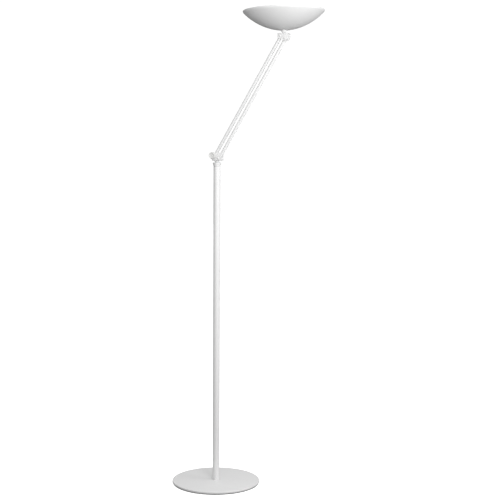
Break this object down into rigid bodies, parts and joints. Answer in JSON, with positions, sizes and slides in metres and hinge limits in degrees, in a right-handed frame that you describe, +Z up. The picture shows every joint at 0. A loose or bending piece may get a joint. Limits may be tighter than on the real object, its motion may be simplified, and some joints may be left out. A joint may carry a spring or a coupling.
{
  "type": "adjustable arm floor lamp",
  "caption": "White floor-standing uplighter: round weighted base, slim pole, swivel head with clamp knob, two-tube parallel arm and a shallow dish kept level.",
  "frame": {"origin": "on the floor under the middle of the round base, at the underside of its pad", "axes": "+Z up along the pole; +X the way the arm leans; the hinge pins lie along Y and the clamp knob is on the -Y side"},
  "size_m": [0.5863, 0.344, 1.8183],
  "materials": {
    "white_paint": "satin",
    "zinc_steel": "satin",
    "cast_iron": "matte",
    "dark_rubber": "matte",
    "white_plastic": "satin",
    "natural_nylon": "matte",
    "brass": "satin",
    "aluminium": "satin",
    "light_board": "matte",
    "opal_plastic": "satin"
  },
  "bodies": {
    "stand": {"base_pad": "dark_rubber", "base_weight": "cast_iron", "base_cover": "white_paint", "cable_gland": "dark_rubber", "base_washer": "zinc_steel", "base_bolt": "zinc_steel", "pole_tube": "white_paint", "pole_foot_plug": "zinc_steel", "pole_collar": "white_paint", "swivel_bush": "natural_nylon"},
    "head": {"swivel_spindle": "white_paint", "swivel_washer": "zinc_steel", "swivel_nut": "zinc_steel", "elbow_yoke": "white_paint", "elbow_rivet": "white_paint", "clamp_screw": "white_paint", "friction_disc_back": "natural_nylon", "friction_disc_front": "natural_nylon", "clamp_washer": "zinc_steel"},
    "knob": {"clamp_knob": "white_plastic", "knob_insert": "brass"},
    "rear_arm": {"rear_tube": "white_paint", "rear_tube_low_end": "white_paint", "rear_tube_top_end": "white_paint"},
    "front_arm": {"front_tube": "white_paint", "front_tube_low_end": "white_paint", "front_tube_top_end": "white_paint"},
    "lamp": {"wrist_bracket": "white_paint", "wrist_rivet_rear": "white_paint", "wrist_rivet_front": "white_paint", "dish_stem": "zinc_steel", "dish_boss": "white_paint", "dish_shell": "white_paint", "dish_washer": "zinc_steel", "dish_nut": "zinc_steel", "led_heat_sink": "aluminium", "led_board": "light_board", "led_diffuser": "opal_plastic"}
  },
  "joints": [
    {"name": "head_swivel", "type": "hinge", "parent": "stand", "child": "head", "pos_m": [0, 0, 1.2514], "axis": [0, 0, 1], "range_deg": [-170, 170]},
    {"name": "knob_turn", "type": "hinge", "parent": "head", "child": "knob", "pos_m": [-0.00756, -0.0152, 1.27717], "axis": [0, 1, 0], "range_deg": [-180, 0]},
    {"name": "elbow", "type": "hinge", "parent": "head", "child": "rear_arm", "pos_m": [-0.00756, 0, 1.27717], "axis": [0, 1, 0], "range_deg": [-30, 50]},
    {"name": "front_link", "type": "hinge", "parent": "head", "child": "front_arm", "pos_m": [0.01036, 0, 1.26683], "axis": [0, 1, 0], "range_deg": [-30, 50]},
    {"name": "wrist", "type": "hinge", "parent": "rear_arm", "child": "lamp", "pos_m": [0.25561, 0, 1.72218], "axis": [0, 1, 0], "range_deg": [-50, 30]}
  ],
  "couplings": [
    {"joint": "front_link", "follows": "elbow", "ratio": 1},
    {"joint": "wrist", "follows": "elbow", "ratio": -1}
  ]
}
